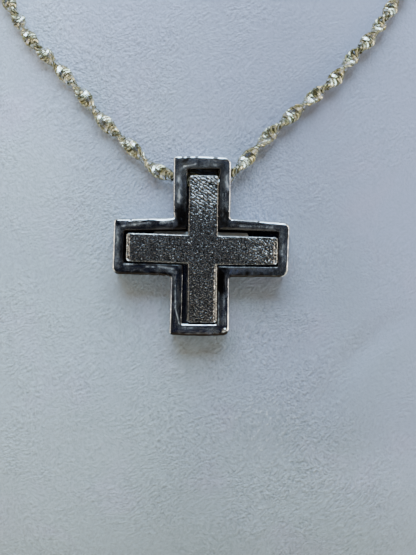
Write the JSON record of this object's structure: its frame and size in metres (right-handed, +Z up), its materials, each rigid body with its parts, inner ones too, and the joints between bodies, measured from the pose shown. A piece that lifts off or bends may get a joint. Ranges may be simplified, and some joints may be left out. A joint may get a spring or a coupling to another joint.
{
  "type": "cross necklace on a neck bust",
  "caption": "Silver cross pendant, a textured cross set in a polished cross-shaped frame, on a twisted curb chain that lies round a pale leatherette neck bust.",
  "frame": {"origin": "centre of the bust's flat base, on the surface that it stands on", "axes": "+Z up, the front with the pendant looks along -Y, +X to the viewer's right"},
  "size_m": [0.1828, 0.0994, 0.2],
  "materials": {
    "leatherette": "pale grained leatherette, soft sheen",
    "polished_silver": "hand-polished silver, slightly tarnished",
    "stippled_silver": "cast stippled silver, darkened in its grain",
    "chain_silver": "bright-cut silver with a yellowish tarnish",
    "clasp_silver": "polished silver"
  },
  "bodies": {
    "root": {"neck_bust": "leatherette", "frame": "polished_silver", "inner_cross": "stippled_silver", "chain": "chain_silver", "clasp": "clasp_silver"}
  },
  "joints": []
}
